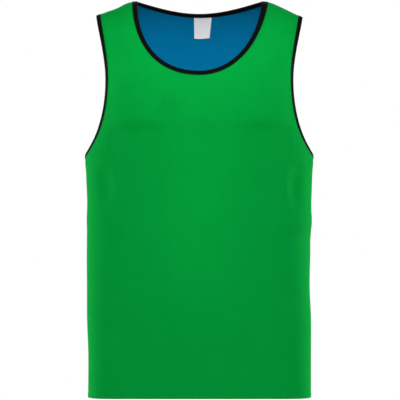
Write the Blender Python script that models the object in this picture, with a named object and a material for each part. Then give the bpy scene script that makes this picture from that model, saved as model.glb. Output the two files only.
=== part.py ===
"""Sleeveless reversible jersey, worn shape with no wearer: two cloth layers, bound openings, one label.

Frame: metres, +Z up, +X to the viewer's right, the front faces -Y. The origin is midway between the two
shoulder seams, where the wearer's shoulders carry the garment. Front and back meet in the plane Y = 0.

A point of the garment is found from two surface coordinates. "around" runs from 0 at the centre front
or back to 1 at the side seam (-1 at the other side). "up" is an angle: 0 at chest level, a quarter turn
at the shoulder seam, and it goes on below the chest in equal steps of height.
"""

import math

import bpy
import numpy as np

# Cloth
LAYER_WALL = 0.0010
LAYER_GAP = 0.0003
SEAM_GAP = 0.0003
TAPE_WALL = 0.0010
TAPE_GAP = 0.0003
TAPE_OVERLAP = 0.0073

# Main heights, from the shoulder level
HEM_HEIGHT = -0.7172
CHEST_HEIGHT = -0.200
CHEST_TO_SHOULDER = 0.215

# Neck opening: fold line of the binding
NECK_HALF_WIDTH = 0.1149
FRONT_NECK_BOTTOM = -0.1203
BACK_NECK_BOTTOM = -0.0051

# Handles of the neckline curves: height of the one at the shoulder, reach of the one at the bottom
NECK_HANDLES = {
    # side: (front shoulder half-width, front shoulder height, front bottom reach)
    -1: (0.1152, -0.0607, 0.0781),
    +1: (0.1115, -0.0515, 0.0672),
}
BACK_NECK_HANDLES = (0.0850, 0.0075, 0.0450)

# Armhole: fold line as two curves in the front view, shoulder tip to narrowest place to armpit
TIP_HALF_WIDTH = 0.1921
NARROWEST = (0.1729, -0.1313)
ARMPIT_HEIGHT = -0.2709
ARMHOLE_UPPER_HANDLES = ((0.1862, -0.0460), (0.1734, -0.0944))
ARMHOLE_LOWER_HANDLES = ((0.1722, -0.1827), (0.1824, -0.2341))

# Height of the shoulder seam over half-width. The cloth sags more at -X and hangs lower at +X.
SHOULDER_LINE = (
    # half-width, height at -X, height at +X
    (0.0000, 0.0136, 0.0136),
    (0.1000, 0.0136, 0.0136),
    (0.1149, 0.0136, 0.0136),
    (0.1299, 0.0122, 0.0122),
    (0.1543, 0.0010, 0.0021),
    (0.1806, -0.0084, -0.0106),
    (0.1921, -0.0130, -0.0160),
    (0.2400, -0.0320, -0.0370),
)

# Half-width of the figure over height, to -X and to +X
HALF_WIDTHS = (
    # height, to -X, to +X
    (-0.7172, 0.2060, 0.2066),
    (-0.6450, 0.2058, 0.2068),
    (-0.5680, 0.2084, 0.2068),
    (-0.5230, 0.2085, 0.2047),
    (-0.4300, 0.2090, 0.2066),
    (-0.3670, 0.2080, 0.2076),
    (-0.3100, 0.2103, 0.2096),
    (-0.2709, 0.2112, 0.2106),
    (-0.2550, 0.2068, 0.2066),
    (-0.2400, 0.2016, 0.2016),
    (-0.2200, 0.1972, 0.1972),
    (-0.2000, 0.1932, 0.1932),
    (-0.1350, 0.1862, 0.1862),
    (-0.0850, 0.2000, 0.2000),
    (-0.0400, 0.2320, 0.2320),
    (-0.0140, 0.2560, 0.2560),
    (0.0200, 0.2800, 0.2800),
)

# Sections of the figure over height: depth to the front and to the back, and how square they are
# (the power of the curve that rounds each section, 2 for an ellipse)
SECTIONS = (
    # height, front, back, power
    (-0.7172, 0.0978, 0.0958, 4.7),
    (-0.6000, 0.1000, 0.0960, 4.0),
    (-0.4500, 0.1045, 0.0975, 3.5),
    (-0.3300, 0.1105, 0.1020, 3.1),
    (-0.2550, 0.1170, 0.1075, 2.9),
    (-0.2100, 0.1215, 0.1110, 2.7),
    (-0.1900, 0.1205, 0.1125, 2.6),
    (-0.1200, 0.1145, 0.1165, 2.5),
    (-0.0500, 0.1140, 0.1240, 2.4),
    (0.0200, 0.1150, 0.1300, 2.4),
)

# Label, from the centre line and from the lower edge of the back neck binding
LABEL_CENTRE = 0.0066
LABEL_WIDTH = 0.0337
LABEL_LENGTH = 0.0433
LABEL_WALL = 0.0010
LABEL_CLEARANCE = 0.0012
LABEL_TOP_GAP = 0.0004

# Mesh: heights where the straps of the front begin, cells across and along each stretch of a panel
STRAP_BASE_AT_ARMHOLE = -0.115
STRAP_BASE_AT_NECK = -0.088
STRAP_CELLS = 6
NECK_CELLS = 8
BODY_ROWS = 10
CHEST_ROWS = 7
STRAP_ROWS = 9
LABEL_CELLS = (3, 4)
CURVE_SAMPLES = 400
RELAX_ROUNDS = 40
SOLVE_ROUNDS = 30
SLOPE_STEP = 0.004
SHARP_EDGE = math.radians(50)

# Share of the tape's wall that its fold reaches out where it meets a leg, which rounds the fold
FOLD_SHOULDER = 0.45
# Points of the tape's section at the ends of its legs
LINE_POINTS = (0, 1, 6, 7)

QUARTER_TURN = math.pi / 2
FRONT = -1
BACK = 1

GREEN = (0.010, 0.310, 0.045, 1.0)
BLUE = (0.005, 0.115, 0.235, 1.0)
BLACK = (0.006, 0.006, 0.006, 1.0)
WHITE = (0.720, 0.730, 0.720, 1.0)


# Smooth curves

def smooth_table(table, column, at):
    """Read one column of a table at the places `at`, on a smooth curve through its rows."""
    keys = np.array([row[0] for row in table])
    values = np.array([row[column] for row in table])
    slopes = np.gradient(values, keys)
    low = np.clip(np.searchsorted(keys, at) - 1, 0, len(keys) - 2)
    span = keys[low + 1] - keys[low]
    t = np.clip((at - keys[low]) / span, 0.0, 1.0)
    start = (1 + 2 * t) * (1 - t) ** 2 * values[low] + t * (1 - t) ** 2 * span * slopes[low]
    end = t ** 2 * (3 - 2 * t) * values[low + 1] - t ** 2 * (1 - t) * span * slopes[low + 1]
    return start + end


def bezier(start, first_handle, second_handle, end, samples):
    """Points of one cubic curve in the front view."""
    t = np.linspace(0.0, 1.0, samples)[:, None]
    corners = [np.array(corner) for corner in (start, first_handle, second_handle, end)]
    return ((1 - t) ** 3 * corners[0] + 3 * t * (1 - t) ** 2 * corners[1]
            + 3 * t ** 2 * (1 - t) * corners[2] + t ** 3 * corners[3])


# The figure that the garment is worn on

def shoulder_height(x):
    out = np.abs(x)
    return np.where(x < 0, smooth_table(SHOULDER_LINE, 1, out), smooth_table(SHOULDER_LINE, 2, out))


def half_width(z, x):
    return np.where(x < 0, smooth_table(HALF_WIDTHS, 1, z), smooth_table(HALF_WIDTHS, 2, z))


def section(around, z):
    """Place across and forward on a rounded section of half-width 1 and depth 1."""
    power = smooth_table(SECTIONS, 3, z)
    turn = np.abs(around) * QUARTER_TURN
    sine = np.sin(turn)
    cosine = np.maximum(np.cos(turn), 0.0)
    reach = (sine ** power + cosine ** power) ** (-1 / power)
    return np.sign(around) * sine * reach, cosine * reach


def figure(spots, side):
    """Points on the figure at surface coordinates `spots` (around, up), on its front or back."""
    around = spots[..., 0]
    up = spots[..., 1]
    x = around * half_width(np.full_like(up, CHEST_HEIGHT), around)
    for _ in range(SOLVE_ROUNDS):
        above = CHEST_HEIGHT + (shoulder_height(x) - CHEST_HEIGHT) * np.sin(np.maximum(up, 0.0))
        z = np.where(up > 0, above, CHEST_HEIGHT + CHEST_TO_SHOULDER * up)
        across, forward = section(around, z)
        x = across * half_width(z, around)
    column = 1 if side == FRONT else 2
    depth = smooth_table(SECTIONS, column, z) * forward * np.cos(np.maximum(up, 0.0))
    return np.stack((x, side * depth, z), axis=-1)


def spots_at(view_points):
    """Surface coordinates of points given in the front view as (x, z)."""
    x = view_points[:, 0]
    z = view_points[:, 1]
    power = smooth_table(SECTIONS, 3, z)
    across = np.minimum(np.abs(x) / half_width(z, x), 1.0)
    forward = (1 - across ** power) ** (1 / power)
    around = np.sign(x) * np.arctan2(across, forward) / QUARTER_TURN
    share = np.clip((z - CHEST_HEIGHT) / (shoulder_height(x) - CHEST_HEIGHT), -1.0, 1.0)
    up = np.where(z > CHEST_HEIGHT, np.arcsin(share), (z - CHEST_HEIGHT) / CHEST_TO_SHOULDER)
    return np.stack((around, up), axis=-1)


def slopes_at(spots, side):
    """How the figure's point moves with each surface coordinate, by differences taken inside it."""
    slopes = []
    for axis, limit in ((0, 1.0), (1, QUARTER_TURN)):
        ahead = spots.copy()
        behind = spots.copy()
        ahead[..., axis] = np.minimum(spots[..., axis] + SLOPE_STEP, limit)
        behind[..., axis] = np.maximum(spots[..., axis] - SLOPE_STEP, -limit if axis == 0 else -np.inf)
        width = (ahead - behind)[..., axis, None]
        slopes.append((figure(ahead, side) - figure(behind, side)) / width)
    return slopes


def unit(vectors):
    return vectors / np.linalg.norm(vectors, axis=-1, keepdims=True)


def normals_at(spots, side):
    """Outward normals. On a seam they lie in the plane of the seam."""
    around_slope, up_slope = slopes_at(spots, side)
    normal = -side * np.cross(around_slope, up_slope)
    on_seam = (np.abs(spots[..., 0]) > 1 - 1e-9) | (spots[..., 1] > QUARTER_TURN - 1e-9)
    normal[..., 1] = np.where(on_seam, 0.0, normal[..., 1])
    return unit(normal)


# Edge curves, as surface coordinates

def even_stations(spots, side, cells):
    """Resample a curve on the figure to stations at equal distances."""
    points = figure(spots, side)
    steps = np.linalg.norm(np.diff(points, axis=0), axis=1)
    length = np.concatenate(([0.0], np.cumsum(steps)))
    wanted = np.linspace(0.0, length[-1], cells + 1)
    return np.stack([np.interp(wanted, length, spots[:, axis]) for axis in (0, 1)], axis=-1)


def moved_in(spots, side, distance, turn):
    """Move an edge curve into the cloth by a distance along the figure. `turn` says on which hand."""
    for _ in range(2):
        points = figure(spots, side)
        around_slope, up_slope = slopes_at(spots, side)
        along = np.gradient(points, axis=0)
        inward = turn * unit(np.cross(normals_at(spots, side), along)) * distance / 2
        aa = (around_slope ** 2).sum(-1)
        ab = (around_slope * up_slope).sum(-1)
        bb = (up_slope ** 2).sum(-1)
        ia = (inward * around_slope).sum(-1)
        ib = (inward * up_slope).sum(-1)
        spread = aa * bb - ab ** 2
        change = np.stack(((ia * bb - ib * ab) / spread, (ib * aa - ia * ab) / spread), axis=-1)
        on_shoulder = spots[:, 1] > QUARTER_TURN - 1e-9
        on_side = np.abs(spots[:, 0]) > 1 - 1e-9
        change[on_shoulder, 1] = 0.0
        change[on_side, 0] = 0.0
        spots = spots + change
        spots[:, 1] = np.minimum(spots[:, 1], QUARTER_TURN)
        spots[:, 0] = np.clip(spots[:, 0], -1.0, 1.0)
    return spots


def shoulder_point(x):
    return (x, float(shoulder_height(np.array([x]))[0]))


def neck_fold(side):
    """Fold line of the neck binding from the -X shoulder to the +X shoulder."""
    halves = []
    for hand in (-1, 1):
        start = shoulder_point(hand * NECK_HALF_WIDTH)
        if side == FRONT:
            width, height, reach = NECK_HANDLES[hand]
            bottom = FRONT_NECK_BOTTOM
        else:
            width, height, reach = BACK_NECK_HANDLES
            bottom = BACK_NECK_BOTTOM
        halves.append(bezier(start, (hand * width, height), (hand * reach, bottom), (0.0, bottom),
                             CURVE_SAMPLES))
    spots = spots_at(np.concatenate((halves[0], halves[1][-2::-1])))
    spots[[0, -1], 1] = QUARTER_TURN
    return spots


def armhole_fold(hand):
    """Fold line of an armhole binding from the shoulder tip to the armpit, for -X or +X."""
    flip = np.array((hand, 1.0))
    armpit = (float(half_width(np.array([ARMPIT_HEIGHT]), np.array([hand]))[0]), ARMPIT_HEIGHT)
    tip = (TIP_HALF_WIDTH, shoulder_point(hand * TIP_HALF_WIDTH)[1])
    upper = bezier(tip, *ARMHOLE_UPPER_HANDLES, NARROWEST, CURVE_SAMPLES)
    lower = bezier(NARROWEST, *ARMHOLE_LOWER_HANDLES, armpit, CURVE_SAMPLES)
    spots = spots_at(np.concatenate((upper, lower[1:])) * flip)
    spots[0, 1] = QUARTER_TURN
    spots[-1, 0] = hand
    return spots


def tape_lines(fold, side, turn):
    """Cut edge of the cloth inside the fold, and the line where the binding's edge lies on the cloth."""
    cut = moved_in(fold, side, TAPE_WALL + TAPE_GAP, turn)
    return cut, moved_in(cut, side, TAPE_OVERLAP, turn)


def matched_stations(cut, hem, side, cell_counts, breaks):
    """Stations on the tape line, and the partner of each on the cut edge, for stretches between breaks."""
    lined = []
    partnered = []
    index = np.linspace(0.0, len(hem) - 1.0, len(hem))
    for cells, (first, last) in zip(cell_counts, breaks):
        stretch = slice(first, last + 1)
        keyed = np.concatenate((hem[stretch], index[stretch, None]), axis=1)
        points = figure(hem[stretch], side)
        steps = np.linalg.norm(np.diff(points, axis=0), axis=1)
        length = np.concatenate(([0.0], np.cumsum(steps)))
        wanted = np.linspace(0.0, length[-1], cells + 1)
        row = np.stack([np.interp(wanted, length, keyed[:, axis]) for axis in range(3)], axis=-1)
        partner = np.stack([np.interp(row[:, 2], index, cut[:, axis]) for axis in (0, 1)], axis=-1)
        keep = slice(0 if not lined else 1, None)
        lined.append(row[keep, :2])
        partnered.append(partner[keep])
    return np.concatenate(lined), np.concatenate(partnered)


# Panels

def patch(bottom, top, left, right):
    """Grid of surface coordinates inside four edges that share their corners."""
    v = np.linspace(0.0, 1.0, len(left))[:, None, None]
    u = np.linspace(0.0, 1.0, len(bottom))[None, :, None]
    edges = (1 - v) * bottom[None] + v * top[None] + (1 - u) * left[:, None] + u * right[:, None]
    corners = ((1 - u) * (1 - v) * bottom[0] + u * (1 - v) * bottom[-1]
               + (1 - u) * v * top[0] + u * v * top[-1])
    return edges - corners


def straight(start, end, cells):
    return np.linspace(0.0, 1.0, cells + 1)[:, None] * (end - start) + start


def turned_to(cell, first):
    """The same cell, counted from its corner `first`."""
    start = cell.index(first)
    return cell[start:] + cell[:start]


def halves_of(cell):
    """The two triangles of a cell that is split from its first corner."""
    a, b, c, d = cell
    return (a, b, c), (a, c, d)


class Panel:
    """One cut piece: cells between numbered spots, with the spots that border each opening."""

    def __init__(self, side):
        self.side = side
        self.spots = []
        self.quads = []
        self.strips = []
        self.borders = {}

    def add_block(self, grid, first_row=None):
        """Add a grid of cells. Its first row can be spots that are there already."""
        rows, columns = grid.shape[:2]
        numbers = np.zeros((rows, columns), dtype=int)
        for row in range(rows):
            if row == 0 and first_row is not None:
                numbers[0] = first_row
                continue
            numbers[row] = np.arange(columns) + len(self.spots)
            self.spots.extend(grid[row])
        for row in range(rows - 1):
            for column in range(columns - 1):
                self.quads.append((numbers[row, column], numbers[row, column + 1],
                                   numbers[row + 1, column + 1], numbers[row + 1, column]))
        return numbers

    def relax(self):
        """Even out the cells by moving each inner spot to the middle of its neighbours."""
        spots = np.array(self.spots)
        pairs = {}
        for quad in self.quads:
            for start, end in zip(quad, quad[1:] + quad[:1]):
                pair = (min(start, end), max(start, end))
                pairs[pair] = pairs.get(pair, 0) + 1
        links = np.array(list(pairs))
        fixed = np.zeros(len(spots), dtype=bool)
        fixed[np.array([pair for pair, uses in pairs.items() if uses == 1]).ravel()] = True
        count = np.bincount(links.ravel(), minlength=len(spots))[:, None]
        for _ in range(RELAX_ROUNDS):
            total = np.zeros_like(spots)
            np.add.at(total, links[:, 0], spots[links[:, 1]])
            np.add.at(total, links[:, 1], spots[links[:, 0]])
            spots[~fixed] = (total / count)[~fixed]
        self.spots = list(spots)

    def add_border(self, name, line_numbers, cut_edge, flip):
        """Add the strip of cloth between a tape line and the cut edge inside the fold."""
        cut_numbers = np.arange(len(cut_edge)) + len(self.spots)
        self.spots.extend(cut_edge)
        for k in range(len(line_numbers) - 1):
            quad = (line_numbers[k], line_numbers[k + 1], cut_numbers[k + 1], cut_numbers[k])
            first = line_numbers[k] if self.side == FRONT else line_numbers[k + 1]
            self.strips.append(turned_to(quad[::-1] if flip else quad, first))
        self.borders[name] = (np.array(line_numbers), cut_numbers)

    def points_and_normals(self):
        spots = np.array(self.spots)
        points = figure(spots, self.side)
        points[:, 1] += self.side * SEAM_GAP / 2
        return points, normals_at(spots, self.side)

    def triangles(self, points):
        """Both halves of every cell. A cell of a block is split along its shorter diagonal."""
        cells = list(self.strips)
        for a, b, c, d in self.quads:
            shorter = np.linalg.norm(points[a] - points[c]) <= np.linalg.norm(points[b] - points[d])
            cells.append((a, b, c, d) if shorter else (b, c, d, a))
        return [half for cell in cells for half in halves_of(cell)]


def nearest_index(spots, side, wanted):
    """Index of the curve sample whose front view height is nearest to the wanted one."""
    return int(np.argmin(np.abs(figure(spots, side)[:, 2] - wanted)))


def armhole_lines(side):
    """Tape line and cut edge of both armholes, shoulder first, with the sample at the strap's base."""
    lines = {}
    for hand in (-1, 1):
        fold = armhole_fold(hand)
        cut, line = tape_lines(fold, side, hand * side)
        base = nearest_index(line, side, STRAP_BASE_AT_ARMHOLE)
        lines[hand] = matched_stations(cut, line, side, (STRAP_ROWS, CHEST_ROWS),
                                       ((0, base), (base, len(line) - 1)))
    return lines


def make_panel(side):
    """Front or back: a body block up to the base of the straps, then the straps or the shoulders."""
    panel = Panel(side)
    armholes = armhole_lines(side)
    fold = neck_fold(side)
    cut, line = tape_lines(fold, side, side)
    if side == FRONT:
        half = len(line) // 2
        left_turn = nearest_index(line[:half], side, STRAP_BASE_AT_NECK)
        right_turn = half + nearest_index(line[half:], side, STRAP_BASE_AT_NECK)
        neck_line, neck_cut = matched_stations(
            cut, line, side, (STRAP_ROWS, NECK_CELLS, STRAP_ROWS),
            ((0, left_turn), (left_turn, right_turn), (right_turn, len(line) - 1)))
        base_row = STRAP_ROWS
    else:
        neck_line, neck_cut = matched_stations(cut, line, side, (NECK_CELLS,), ((0, len(line) - 1),))
        base_row = 0
    arc = neck_line[base_row:base_row + NECK_CELLS + 1]
    hem_up = (HEM_HEIGHT - CHEST_HEIGHT) / CHEST_TO_SHOULDER
    hem = even_stations(straight(np.array((-1.0, hem_up)), np.array((1.0, hem_up)), CURVE_SAMPLES),
                        side, 2 * STRAP_CELLS + NECK_CELLS)
    sides = {}
    for hand in (-1, 1):
        armhole = armholes[hand][0][::-1]
        seam = straight(np.array((float(hand), hem_up)), armhole[0], BODY_ROWS)
        top = CHEST_ROWS + 1 if side == FRONT else len(armhole)
        sides[hand] = np.concatenate((seam[:-1], armhole[:top]))
    left_strap = straight(sides[-1][-1], arc[0], STRAP_CELLS)
    right_strap = straight(arc[-1], sides[1][-1], STRAP_CELLS)
    top_edge = np.concatenate((left_strap, arc[1:-1], right_strap))
    body = panel.add_block(patch(hem, top_edge, sides[-1], sides[1]))
    neck_numbers = list(body[-1, STRAP_CELLS:STRAP_CELLS + NECK_CELLS + 1])
    armhole_numbers = {hand: list(body[BODY_ROWS:, column])[::-1] for hand, column in ((-1, 0), (1, -1))}
    if side == FRONT:
        straps = {-1: body[-1, :STRAP_CELLS + 1], 1: body[-1, STRAP_CELLS + NECK_CELLS:]}
        for hand, base in straps.items():
            outer = armholes[hand][0][:STRAP_ROWS + 1][::-1]
            inner = neck_line[:STRAP_ROWS + 1][::-1] if hand < 0 else neck_line[-STRAP_ROWS - 1:]
            left, right = (outer, inner) if hand < 0 else (inner, outer)
            bottom = left_strap if hand < 0 else right_strap
            top = straight(left[-1], right[-1], STRAP_CELLS)
            strap = panel.add_block(patch(bottom, top, left, right), first_row=base)
            armhole_numbers[hand] = list(strap[1:, 0 if hand < 0 else -1])[::-1] + armhole_numbers[hand]
            if hand < 0:
                neck_numbers = list(strap[1:, -1])[::-1] + neck_numbers
            else:
                neck_numbers = neck_numbers + list(strap[1:, 0])
    panel.relax()
    panel.add_border("neck", neck_numbers, neck_cut, flip=False)
    for hand in (-1, 1):
        panel.add_border(hand, armhole_numbers[hand], armholes[hand][1], flip=hand < 0)
    return panel


# Solids

def add_object(name, points, faces, colour, roughness):
    mesh = bpy.data.meshes.new(name)
    mesh.from_pydata([tuple(point) for point in points], [], faces)
    mesh.validate()
    material = bpy.data.materials.get(name) or bpy.data.materials.new(name)
    material.use_nodes = True
    shader = material.node_tree.nodes["Principled BSDF"]
    shader.inputs["Base Color"].default_value = colour
    shader.inputs["Roughness"].default_value = roughness
    shader.inputs["Metallic"].default_value = 0.0
    mesh.materials.append(material)
    mesh.shade_smooth()
    mesh.set_sharp_from_angle(angle=SHARP_EDGE)
    thing = bpy.data.objects.new(name, mesh)
    bpy.context.scene.collection.objects.link(thing)
    return thing


def wall(points, normals, triangles, outer, inner):
    """Closed wall between two offsets of a panel, with a rim round every edge."""
    count = len(points)
    shell = np.concatenate((points + normals * outer, points + normals * inner))
    faces = [tuple(int(n) for n in face) for face in triangles]
    faces += [tuple(n + count for n in reversed(face)) for face in faces]
    directed = {(int(a), int(b)) for face in triangles for a, b in zip(face, face[1:] + face[:1])}
    for start, end in sorted(directed):
        if (end, start) not in directed:
            faces.append((end, start, start + count, end + count))
    return shell, faces


def facing_out(points, faces):
    """The same faces, turned round if they enclose a negative volume."""
    volume = 0.0
    for face in faces:
        for second, third in zip(face[1:], face[2:]):
            volume += np.dot(points[face[0]], np.cross(points[second], points[third]))
    return faces if volume > 0 else [tuple(reversed(face)) for face in faces]


def make_layers(panel, prefix):
    points, normals = panel.points_and_normals()
    triangles = panel.triangles(points)
    inner_face = LAYER_WALL + LAYER_GAP
    for suffix, outer, inner, colour in (("outer", 0.0, -LAYER_WALL, GREEN),
                                         ("inner", -inner_face, -inner_face - LAYER_WALL, BLUE)):
        shell, faces = wall(points, normals, triangles, outer, inner)
        add_object(f"{prefix}_{suffix}", shell, facing_out(shell, faces), colour, 0.75)


def tape_section(line, line_normal, cut, cut_normal):
    """Folded tape at one station: a loop of ten points, where LINE_POINTS are the legs' ends."""
    out = unit(cut - line)
    clear = TAPE_GAP
    full = TAPE_GAP + TAPE_WALL
    inside = -2 * LAYER_WALL - LAYER_GAP
    return [
        line + line_normal * clear,
        line + line_normal * full,
        cut + cut_normal * full + out * full * FOLD_SHOULDER,
        cut + cut_normal * clear + out * full,
        cut + cut_normal * (inside - clear) + out * full,
        cut + cut_normal * (inside - full) + out * full * FOLD_SHOULDER,
        line + line_normal * (inside - full),
        line + line_normal * (inside - clear),
        cut + cut_normal * (inside - clear) + out * clear,
        cut + cut_normal * clear + out * clear,
    ]


def make_tape(name, front, back, border):
    """Ring of folded tape over the edges of both panels."""
    stations = []
    for panel, backwards in ((front, False), (back, True)):
        points, normals = panel.points_and_normals()
        line, cut = panel.borders[border]
        order = range(len(line))
        if backwards:
            order = reversed(order)
        for k in list(order)[:-1]:
            section = tape_section(points[line[k]], normals[line[k]], points[cut[k]], normals[cut[k]])
            stations.append(section)
    for seam in (0, len(front.borders[border][0]) - 1):
        for point in stations[seam]:
            point[1] = 0.0
    size = len(stations[0])
    faces = []
    for k in range(len(stations)):
        here = k * size
        there = (k + 1) % len(stations) * size
        for n in range(size):
            m = (n + 1) % size
            cell = (here + n, here + m, there + m, there + n)
            faces.extend(halves_of(turned_to(cell, here + m) if m in LINE_POINTS else cell))
    points = np.array(stations).reshape(-1, 3)
    add_object(name, points, facing_out(points, faces), BLACK, 0.7)


def make_label(back):
    """Flat woven label that hangs from the back neck binding, inside."""
    columns, rows = LABEL_CELLS
    line, _ = back.borders["neck"]
    neck_spots = np.array(back.spots)[line]
    neck_view = figure(neck_spots, BACK)
    label_spots = []
    for row in range(rows + 1):
        down = LABEL_TOP_GAP + LABEL_LENGTH * row / rows
        for column in range(columns + 1):
            x = LABEL_CENTRE + LABEL_WIDTH * (column / columns - 0.5)
            top_up = np.interp(x, neck_view[:, 0], neck_spots[:, 1])
            label_spots.append((x, top_up, down))
    label_spots = np.array(label_spots)
    at_neck = np.stack((label_spots[:, 0], np.full(len(label_spots), BACK_NECK_BOTTOM)), axis=-1)
    around = spots_at(at_neck)[:, 0]
    top = np.stack((around, label_spots[:, 1]), axis=-1)
    speed = np.linalg.norm(slopes_at(top, BACK)[1], axis=-1)
    spots = np.stack((around, label_spots[:, 1] - label_spots[:, 2] / speed), axis=-1)
    points = figure(spots, BACK)
    points[:, 1] += SEAM_GAP / 2
    normals = normals_at(spots, BACK)
    halves = []
    for row in range(rows):
        for column in range(columns):
            corner = row * (columns + 1) + column
            halves.extend(halves_of((corner, corner + 1, corner + columns + 2, corner + columns + 1)))
    near = -2 * LAYER_WALL - LAYER_GAP - LABEL_CLEARANCE
    shell, faces = wall(points, normals, halves, near, near - LABEL_WALL)
    add_object("neck_label", shell, facing_out(shell, faces), WHITE, 0.6)


def main():
    for thing in list(bpy.data.objects):
        bpy.data.objects.remove(thing, do_unlink=True)
    front = make_panel(FRONT)
    back = make_panel(BACK)
    make_layers(front, "front")
    make_layers(back, "back")
    make_tape("neck_binding", front, back, "neck")
    make_tape("armhole_binding_left", front, back, -1)
    make_tape("armhole_binding_right", front, back, 1)
    make_label(back)


main()
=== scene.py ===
"""Looks of the sleeveless reversible jersey: thin knitted layers, folded tape, stitching and label.

The cloth follows the same figure as the solids, from the same named sizes, on a finer mesh and with its
creases. Surface coordinates: "around" runs from 0 at the centre front or back to 1 at the side seam (-1 at
the other side); "up" is an angle, 0 at chest level and a quarter turn at the shoulder seam.
"""

import math

import bpy
import numpy as np
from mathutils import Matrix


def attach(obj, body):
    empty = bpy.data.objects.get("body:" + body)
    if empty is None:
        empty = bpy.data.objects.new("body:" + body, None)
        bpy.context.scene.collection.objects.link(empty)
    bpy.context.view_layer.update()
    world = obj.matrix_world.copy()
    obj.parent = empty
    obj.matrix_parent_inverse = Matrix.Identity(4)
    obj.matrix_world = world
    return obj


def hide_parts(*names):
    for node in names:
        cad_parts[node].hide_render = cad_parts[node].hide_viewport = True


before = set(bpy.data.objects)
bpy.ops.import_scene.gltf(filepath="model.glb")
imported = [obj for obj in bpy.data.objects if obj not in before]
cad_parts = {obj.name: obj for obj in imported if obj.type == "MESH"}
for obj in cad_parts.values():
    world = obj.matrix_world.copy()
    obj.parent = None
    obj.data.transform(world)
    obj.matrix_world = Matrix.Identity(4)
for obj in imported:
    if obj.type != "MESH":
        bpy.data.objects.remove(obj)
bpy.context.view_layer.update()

# Cloth
LAYER_WALL = 0.0008
LAYER_GAP = 0.0004
SEAM_GAP = 0.0003
TAPE_WALL = 0.0007
TAPE_GAP = 0.0001
TAPE_OVERLAP = 0.0073
TAPE_FOLD = 0.0013

# The neck binding shows wider where it turns over the shoulders
NECK_TAPE_EXTRA = {-1: 0.0012, +1: 0.0046}
NECK_TAPE_REACH = 0.07

# Main heights, from the shoulder level
HEM_HEIGHT = -0.7172
CHEST_HEIGHT = -0.200
CHEST_TO_SHOULDER = 0.215

# Neck opening: fold line of the binding
NECK_HALF_WIDTH = 0.1149
FRONT_NECK_BOTTOM = -0.1203
BACK_NECK_BOTTOM = -0.0051

# Handles of the neckline curves: height of the one at the shoulder, reach of the one at the bottom
NECK_HANDLES = {
    # side: (front shoulder half-width, front shoulder height, front bottom reach)
    -1: (0.1152, -0.0607, 0.0781),
    +1: (0.1115, -0.0515, 0.0672),
}
BACK_NECK_HANDLES = (0.0850, 0.0075, 0.0450)

# Armhole: fold line as two curves in the front view, shoulder tip to narrowest place to armpit
TIP_HALF_WIDTH = 0.1921
NARROWEST = (0.1729, -0.1313)
ARMPIT_HEIGHT = -0.2709
ARMHOLE_UPPER_HANDLES = ((0.1862, -0.0460), (0.1734, -0.0944))
ARMHOLE_LOWER_HANDLES = ((0.1722, -0.1827), (0.1824, -0.2341))

# Height of the shoulder seam over half-width. The cloth sags more at -X and hangs lower at +X.
SHOULDER_LINE = (
    # half-width, height at -X, height at +X
    (0.0000, 0.0136, 0.0136),
    (0.1000, 0.0136, 0.0136),
    (0.1149, 0.0136, 0.0136),
    (0.1299, 0.0122, 0.0122),
    (0.1543, 0.0010, 0.0021),
    (0.1806, -0.0084, -0.0106),
    (0.1921, -0.0130, -0.0160),
    (0.2400, -0.0320, -0.0370),
)

# Half-width of the figure over height, to -X and to +X
HALF_WIDTHS = (
    # height, to -X, to +X
    (-0.7172, 0.2060, 0.2066),
    (-0.6450, 0.2058, 0.2068),
    (-0.5680, 0.2084, 0.2068),
    (-0.5230, 0.2085, 0.2047),
    (-0.4300, 0.2090, 0.2066),
    (-0.3670, 0.2080, 0.2076),
    (-0.3100, 0.2103, 0.2096),
    (-0.2709, 0.2112, 0.2106),
    (-0.2550, 0.2068, 0.2066),
    (-0.2400, 0.2016, 0.2016),
    (-0.2200, 0.1972, 0.1972),
    (-0.2000, 0.1932, 0.1932),
    (-0.1350, 0.1862, 0.1862),
    (-0.0850, 0.2000, 0.2000),
    (-0.0400, 0.2320, 0.2320),
    (-0.0140, 0.2560, 0.2560),
    (0.0200, 0.2800, 0.2800),
)

# Sections of the figure over height: depth to the front and to the back, and how square they are
SECTIONS = (
    # height, front, back, power
    (-0.7172, 0.0978, 0.0958, 4.7),
    (-0.6000, 0.1000, 0.0960, 4.0),
    (-0.4500, 0.1045, 0.0975, 3.5),
    (-0.3300, 0.1105, 0.1020, 3.1),
    (-0.2550, 0.1170, 0.1075, 2.9),
    (-0.2100, 0.1215, 0.1110, 2.7),
    (-0.1900, 0.1205, 0.1125, 2.6),
    (-0.1200, 0.1145, 0.1165, 2.5),
    (-0.0500, 0.1140, 0.1240, 2.4),
    (0.0200, 0.1150, 0.1300, 2.4),
)

# Label, from the centre line and from the lower edge of the back neck binding
LABEL_CENTRE = 0.0066
LABEL_WIDTH = 0.0337
LABEL_LENGTH = 0.0433
LABEL_WALL = 0.0004

# Mesh
STRAP_BASE_AT_ARMHOLE = -0.115
STRAP_BASE_AT_NECK = -0.088
STRAP_CELLS = 28
NECK_CELLS = 40
BODY_ROWS = 96
CHEST_ROWS = 36
STRAP_ROWS = 34
HEM_ROWS = (0.0008, 0.0022, 0.0045, 0.0066, 0.0078, 0.0088, 0.0098, 0.0112, 0.0135, 0.0170, 0.0210)
LABEL_CELLS = (16, 20)
STITCH_SIDES = 6
STITCH_RINGS = ((0.0, 0.35), (0.18, 1.0), (0.82, 1.0), (1.0, 0.35))
CURVE_SAMPLES = 600
EVEN_ROUNDS = 500
SOLVE_ROUNDS = 30
SLOPE_STEP = 0.004

# Hem: a turned-up edge held by one row of stitches
HEM_STITCH = 0.0088
HEM_PUFF = 0.0004
HEM_GROOVE = 0.0006
HEM_GROOVE_WIDTH = 0.0012
HEM_DROP = 0.0010
HEM_CORNER_DROP = 0.0009
HEM_DROP_REACH = 0.10

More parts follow.
